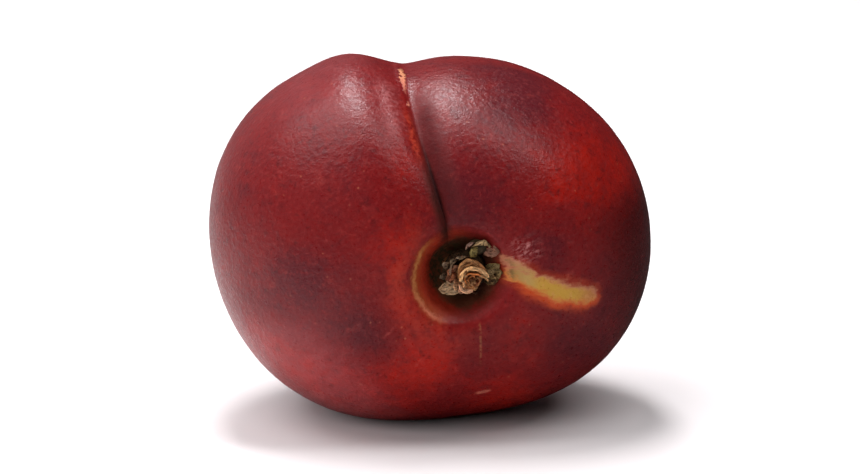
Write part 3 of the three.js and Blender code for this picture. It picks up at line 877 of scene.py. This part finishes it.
def cavity_rim(g, f, colour):
    """The thin tan rim on the cavity's left side. Returns the colour and where the rim is."""
    swell = g.product(g.facing(f.angle, 235), 0.4)
    rim_at = g.total(f.off, g.product(f.middling, -0.5), g.product(f.blotch, 0.9), -0.45)
    rim_at = g.math("SUBTRACT", rim_at, swell)
    run = g.product(g.ramp(f.angle, 105, 145), g.fall(f.angle, 218, 248))
    run = g.product(run, g.ramp(f.brushed, 0.25, 0.55, 0.6, 1), g.ramp(f.mottle, 0.3, 0.5, 0.7, 1))
    glow = g.product(g.band(rim_at, 6.45, 1.5), run)
    colour = g.over(colour, RIM_GLOW, glow, 0.6)
    frayed = g.total(rim_at, g.product(g.math("SUBTRACT", f.fine, 0.5), 0.9))
    rim = g.product(g.band(frayed, 6.8, 0.62), run, g.ramp(f.fine, 0.3, 0.5, 0.55, 1))
    pink = g.blend(g.ramp(f.angle, 165, 220), RIM_TAN, RIM_PINK)
    return g.blend(g.product(rim, 0.95), colour, pink), rim


def patch(g, f, colour):
    """The yellow-green patch beside the cavity, with feathered edges. Returns the colour and its core."""
    edge = g.total(f.patch, g.product(f.brushed, 0.9), g.product(f.fine, 0.3), -0.6)
    upper = g.total(g.product(f.x, 0.55), g.product(f.y, 0.835))
    glow = g.product(g.band(upper, 0.9, 1.9), g.ramp(f.x, 6.8, 9), g.fall(f.x, 13, 19))
    glow = g.product(glow, g.ramp(f.brushed, 0.3, 0.6, 0.5, 1), g.ramp(f.fine, 0.3, 0.6, 0.5, 1))
    colour = g.over(colour, PATCH_GLOW, glow, f.stem_side, 0.75)
    halo = g.product(g.ramp(edge, -0.25, 0.35, 0, 0.9), g.ramp(f.patch, 0.02, 0.22))
    halo = g.product(halo, g.ramp(upper, 2.2, 4.2, 1, 0.3), g.ramp(f.off, 8, 10, 0.3, 1))
    colour = g.blend(halo, colour, PATCH_HALO)
    border = g.blend(g.ramp(upper, 2.4, 3.8), BORDER_ORANGE, BORDER_TAN)
    colour = g.blend(g.ramp(edge, 0.3, 0.7), colour, border)
    core = g.ramp(edge, 0.5, 0.95)
    green = PATCH_START
    for low, high, further in PATCH_COLOURS:
        green = g.blend(g.ramp(f.off, low, high), green, further)
    green = g.blend(g.ramp(f.blotch, 0.5, 0.7, 0, 0.6), green, PATCH_FLECKS)
    green = g.blend(g.ramp(f.fine, 0.28, 0.45, 0.45, 0), green, PATCH_STAINS)
    return g.blend(core, colour, green), core


def painted_patch_highlight(g, f, colour):
    """Painted pinkish highlights along the top edge of the patch."""
    sideways = g.fall(g.apart(f.x, 10.2), 0.3, 3.2)
    upwards = g.fall(g.apart(f.y, 1.4), 0.2, 2.6)
    highlighted = g.product(sideways, upwards, g.ramp(f.brushed, 0.42, 0.6), g.ramp(f.fine, 0.35, 0.55))
    # painted highlight along the patch's top edge
    return g.over(colour, PATCH_TOP_HIGHLIGHT, highlighted, f.stem_side, 0.7)


def suture(g, f, colour):
    """The crease: painted shadow down it by the cavity, then deep red with a warm streak on its left lip,
    painted shade on its right side, a fine dark line of painted shade, and a painted highlight on its
    left flank. Returns the colour, the painted shadow by the cavity and the painted shade."""
    wander = g.total(f.across, g.product(f.blotch, 0.8), -0.4)
    run = g.product(g.ramp(f.polar, 0.25, 0.45), g.fall(f.polar, 0.9, 1.2))
    below = g.fall(f.polar, 0.95, 1.25)
    # painted shadow down the crease next to the cavity
    shadow_by_cavity = g.product(g.band(wander, -0.5, 1.7), g.ramp(f.polar, 0.17, 0.24), g.fall(f.polar, 0.45, 0.9))
    shadow_by_cavity = g.product(shadow_by_cavity, g.ramp(f.mottle, 0.3, 0.55, 0.6, 1))
    colour = g.over(colour, GULLY_SHADOW, shadow_by_cavity, 0.9)
    deep = g.product(g.band(wander, -0.9, 1.5), g.ramp(f.polar, 0.55, 0.75), below)
    colour = g.over(colour, CREASE_RED, deep, 0.8)
    streak = g.product(g.band(wander, -1.1, 1.1), g.ramp(f.polar, 0.62, 0.76))
    streak = g.product(streak, g.ramp(f.polar, 0.88, 1.02, 1, 0.12), below)
    streak = g.product(streak, g.ramp(f.blotch, 0.38, 0.52), g.ramp(f.fine, 0.3, 0.55))
    colour = g.over(colour, STREAK, streak, 0.62)
    # painted shade on the right side of the crease
    shade = g.product(g.band(wander, 1.5, 3), run)
    colour = g.over(colour, CREASE_SHADE, shade, 0.68)
    # painted shade: a fine dark line at the bottom of the crease
    line = g.product(g.band(g.total(f.across, g.product(f.blotch, 0.3), -0.15), 0.05, 0.42), run)
    line = g.product(line, g.fall(f.polar, 0.6, 0.9))
    colour = g.over(colour, CREASE_LINE_SHADE, line, 0.85)
    # painted highlight on the left flank of the crease
    flank = g.product(g.band(f.across, -3.2, 2.4), g.ramp(f.polar, 0.75, 0.9), g.fall(f.polar, 1.1, 1.3))
    flank = g.product(flank, g.ramp(f.fine, 0.4, 0.75, 0.25, 1))
    return g.over(colour, FLANK_HIGHLIGHT, flank, 0.5), shadow_by_cavity, shade


def cork_scar(g, f, colour):
    """A corky scar at the top of the crease. Returns the colour and where the cork is."""
    weathered = g.total(f.across, g.product(f.fine, 0.9), g.product(f.blotch, 1.2), -1.05)
    run = g.math("MAXIMUM", g.band(f.polar, 1.34, 0.3), g.product(g.band(f.polar, 1.06, 0.06), 0.6))
    cork = g.product(g.band(weathered, -0.4, 0.6), run, g.ramp(f.fine, 0.3, 0.5, 0.5, 1))
    cork = g.ramp(cork, 0.2, 0.65)
    return g.blend(cork, colour, g.blend(g.ramp(f.polar, 1.22, 1.4), CORK_PINK, CORK_TAN)), cork


def fine_marks(g, f, colour):
    """A thin drip mark and a small nick below the cavity."""
    drip = g.band(g.total(f.x, g.product(f.y, -0.16), g.product(f.fine, 0.35), -2.6), 0, 0.3)
    drip = g.product(drip, g.ramp(f.y, -15, -12.5), g.fall(f.y, -8.2, -7.4))
    drip = g.product(drip, g.ramp(f.fine, 0.38, 0.55), f.stem_side)
    colour = g.over(colour, DRIP, drip, 0.5)
    low_band = g.math("ABSOLUTE", g.total(f.y, g.product(f.fine, 0.5), 19.3))
    nick = g.product(g.fall(g.math("ABSOLUTE", f.x), 0.5, 1.5), g.fall(low_band, 0.1, 0.45))
    return g.over(colour, NICK, nick, f.stem_side, 0.6)


def skin_material():
    g = Graph("skin", IOR=1.4, Specular_IOR_Level=0.33)
    f = skin_fields(g)
    colour = clouds(g, f)
    for layer in (painted_sheen, tip_colours, dark_and_shaded_cheek, pale_specks, cavity):
        colour = layer(g, f, colour)
    colour, rim = cavity_rim(g, f, colour)
    colour, core = patch(g, f, colour)
    colour = painted_patch_highlight(g, f, colour)
    colour, shadow_by_cavity, shade = suture(g, f, colour)
    colour, cork = cork_scar(g, f, colour)
    colour = fine_marks(g, f, colour)

    matt = g.total(g.ramp(f.fine, 0.25, 0.75, 0.25, 0.45), g.product(cork, 0.3))
    matt = g.total(matt, g.ramp(f.off, 5, 8, 0.25, 0), g.product(shade, 0.4), g.product(shadow_by_cavity, 0.3))
    g.set(g.shader, {"Base Color": colour, "Roughness": matt})

    peel = g.product(g.noise(f.at, 1.2, 3, 0.6), 0.14)
    grain = g.product(g.noise(f.at, 4.5, 2, 0.5), 0.01)
    pits = g.ramp(f.specks.outputs["Distance"], 0.05, 0.25, -0.004, 0)
    marks = (g.product(core, -0.03), g.product(cork, 0.1), g.product(rim, 0.05))
    g.relief(g.total(peel, grain, pits, *marks))
    return g.material


# What the tint of dry matter is multiplied by, and the colour of its specks.
WARM_BLOTCH, DARK_BLOTCH, PALE_EDGE = (1.5, 1.25, 0.95), (0.35, 0.3, 0.28), (1.9, 1.7, 1.4)
# Painted shade for the hollows of the folds, and a painted highlight for their ridges.
CRACK_SHADE, FOLD_HIGHLIGHT = (0.16, 0.13, 0.11), (1.9, 1.8, 1.6)
DARK_SPECK = (0.035, 0.02, 0.012)


def dry_material(name, light, dark, specular):
    """Dry plant matter in its own tint: veined along its length, paler at its edges, with painted shade in
    the hollows of its folds and painted highlights on their ridges.
    """
    g = Graph(name, IOR=1.45, Specular_IOR_Level=specular)
    weave, tint = g.vector("weave"), g.vector("tint")
    apart = g.add("SeparateXYZ", {0: weave})
    at = g.add("TexCoord", {}).outputs["Object"]
    veins = g.noise(g.stretched(weave, (6, 1.2, 1)), 1.6, 4, 0.65, 0.5)
    blotch = g.noise(at, 900, 4, 0.6)
    speck = g.noise(at, 4200, 3, 0.6)
    edge = g.ramp(g.math("ABSOLUTE", apart.outputs[0]), 0.72, 1)
    colour = g.blend(g.ramp(veins, 0.3, 0.7), g.stretched(tint, (dark,) * 3), g.stretched(tint, (light,) * 3))
    colour = g.over(colour, g.stretched(tint, WARM_BLOTCH), g.ramp(blotch, 0.45, 0.7, 0, 0.55))
    colour = g.over(colour, g.stretched(tint, DARK_BLOTCH), g.ramp(blotch, 0.25, 0.42, 0.65, 0))
    colour = g.over(colour, g.stretched(tint, PALE_EDGE), edge, 0.35)
    colour = g.over(colour, DARK_SPECK, g.ramp(speck, 0.55, 0.75, 0, 0.4))
    cracks = g.noise(g.stretched(weave, (2.6, 3.4, 1)), 1.3, 3, 0.6, 0.8)
    # painted shade in the hollows of the folds
    colour = g.over(colour, g.stretched(tint, CRACK_SHADE), g.ramp(cracks, 0.38, 0.47, 0.85, 0))
    # painted highlight on the ridges of the folds
    colour = g.over(colour, g.stretched(tint, FOLD_HIGHLIGHT), g.ramp(cracks, 0.56, 0.72, 0, 0.6))
    folds = g.product(g.ramp(cracks, 0.36, 0.6), 0.16)
    g.relief(g.total(g.product(veins, 0.2), g.product(speck, 0.05), g.product(blotch, 0.08), folds))
    g.set(g.shader, {"Base Color": colour, "Roughness": g.ramp(speck, 0.2, 0.8, 0.62, 0.85)})
    return g.material


# ------------ stage

LAMP_AIM = (0, 0, 0.027)
LAMP_TINT = (1.0, 0.96, 0.985)
FLOOR_SIDES, FLOOR_RADIUS, FLOOR_FADES = 96, 1.6, (0.3, 0.9)
FLOOR_BELOW = 0.00005  # keeps the floor just clear of the flat
PAPER, DARK_PAPER = (0.84, 0.83, 0.82), (0.02, 0.02, 0.02)
SKY, BACKDROP = (0.93, 0.95, 1.0), (0.97, 0.97, 0.97)
BRIGHT_SIDE = (-0.93, 0.37, 0.0)
GLOW = {"From Min": 0.2, "From Max": 0.95, "To Min": 0.02, "To Max": 0.38}  # rises towards that side
CAMERA_ELEVATION, CAMERA_DISTANCE, CAMERA_LENS = 12, 0.55, 150
CAMERA_AIM = (0, 0, 0.0265)


def area_light(name, place, size, power, along=(1, 0, 0), glossy=True):
    """A rectangular lamp facing the object, with its long side along a direction."""
    light = bpy.data.lights.new(name, "AREA")
    light.shape = "RECTANGLE"
    light.size, light.size_y = size
    light.energy = power
    light.color = LAMP_TINT
    lamp = bpy.data.objects.new(name, light)
    away = (Vector(place) - Vector(LAMP_AIM)).normalized()
    long_side = (Vector(along) - away * away.dot(Vector(along))).normalized()
    turn = Matrix((long_side, away.cross(long_side), away)).transposed().to_4x4()
    lamp.matrix_world = Matrix.Translation(place) @ turn
    lamp.visible_camera = False
    lamp.visible_glossy = glossy
    scene.collection.objects.link(lamp)


def floor_material():
    """Pale paper that fades out far away. In the skin's gloss it is dark, except on the left."""
    g = Graph("floor_paper", Roughness=0.75)
    position = g.add("TexCoord", {}).outputs["Object"]
    x, y = g.add("SeparateXYZ", {0: position}).outputs[:2]
    lit = g.product(g.fall(x, -0.045, 0.0), g.ramp(y, -0.13, -0.07), g.ramp(y, 0.0, 0.15, 1.0, 0.5))
    mirrored = g.product(g.add("LightPath", {}).outputs["Is Glossy Ray"], g.math("SUBTRACT", 1.0, lit))
    g.set(g.shader, {"Base Color": g.blend(mirrored, PAPER, DARK_PAPER)})
    far = g.add("VectorMath", {0: position}, operation="LENGTH").outputs["Value"]
    clear = g.add("BsdfTransparent", {}).outputs[0]
    paper = g.add("MixShader", {0: g.ramp(far, *FLOOR_FADES), 1: g.shader.outputs[0], 2: clear})
    g.tree.links.new(paper.outputs[0], g.tree.nodes["Material Output"].inputs[0])
    return g.material


def make_floor():
    floor = bpy.data.meshes.new("floor")
    turn = circle(FLOOR_SIDES)
    edge = joined(FLOOR_RADIUS * np.cos(turn), FLOOR_RADIUS * np.sin(turn), -FLOOR_BELOW)
    floor.from_pydata(edge.tolist(), [], [range(FLOOR_SIDES)])
    floor.materials.append(floor_material())
    ground = bpy.data.objects.new("floor", floor)
    scene.collection.objects.link(ground)


def make_lamps():
    area_light("overhead", (-0.08, 0.3, 0.88), (0.54, 0.17), 6.4, along=(-0.15, 1, -0.4))
    area_light("overhead_left", (-0.46, 0.02, 0.87), (0.66, 0.85), 6.5, along=(0.75, 0, 0.55))
    area_light("overhead_right", (0.4, -0.13, 0.86), (0.75, 0.16), 3.6, along=(1, -0.42, 0))
    area_light("front_fill", (-0.52, -0.68, 0.42), (0.7, 0.6), 4.5, glossy=False)


def make_world():
    """A pale backdrop for the camera, with soft light from the left and behind in an otherwise dim room."""
    world = bpy.data.worlds.new("studio")
    world.use_nodes = True
    tree = world.node_tree
    back = tree.nodes["Background"]
    kinds = ("Background", "TexCoord", "VectorMath", "MapRange", "LightPath", "MixShader")
    camera_sees, where, side, grade, ray, mix = (tree.nodes.new("ShaderNode" + kind) for kind in kinds)
    side.operation = "DOT_PRODUCT"
    side.inputs[1].default_value = BRIGHT_SIDE
    grade.interpolation_type = "SMOOTHSTEP"
    for key, value in GLOW.items():
        grade.inputs[key].default_value = value
    for start, end in (
        (where.outputs["Generated"], side.inputs[0]),
        (side.outputs["Value"], grade.inputs["Value"]),
        (grade.outputs[0], back.inputs[1]),
        (ray.outputs["Is Camera Ray"], mix.inputs[0]),
        (back.outputs[0], mix.inputs[1]),
        (camera_sees.outputs[0], mix.inputs[2]),
        (mix.outputs[0], tree.nodes["World Output"].inputs[0]),
    ):
        tree.links.new(start, end)
    back.inputs[0].default_value = (*SKY, 1)
    camera_sees.inputs[0].default_value = (*BACKDROP, 1)
    scene.world = world
    scene.view_settings.view_transform = "Standard"


def make_camera():
    camera = bpy.data.cameras.new("camera")
    camera.sensor_width = 36
    camera.lens = CAMERA_LENS
    camera.clip_start = 0.01
    eye = bpy.data.objects.new("camera", camera)
    scene.collection.objects.link(eye)
    elevation = math.radians(CAMERA_ELEVATION)
    back = Vector((0, -math.cos(elevation), math.sin(elevation)))
    eye.location = Vector(CAMERA_AIM) + back * CAMERA_DISTANCE
    eye.rotation_euler = (-back).to_track_quat("-Z", "Y").to_euler()
    scene.camera = eye


make_floor()
make_lamps()
make_world()
make_camera()
make_skin(skin_material())
make_stalk_end(dry_material("torn_wood", 1.25, 0.4, 0.35))
make_stalk_scales(dry_material("dry_scales", 1.35, 0.45, 0.3))
make_side_bud(dry_material("bud_scales", 1.35, 0.5, 0.3))
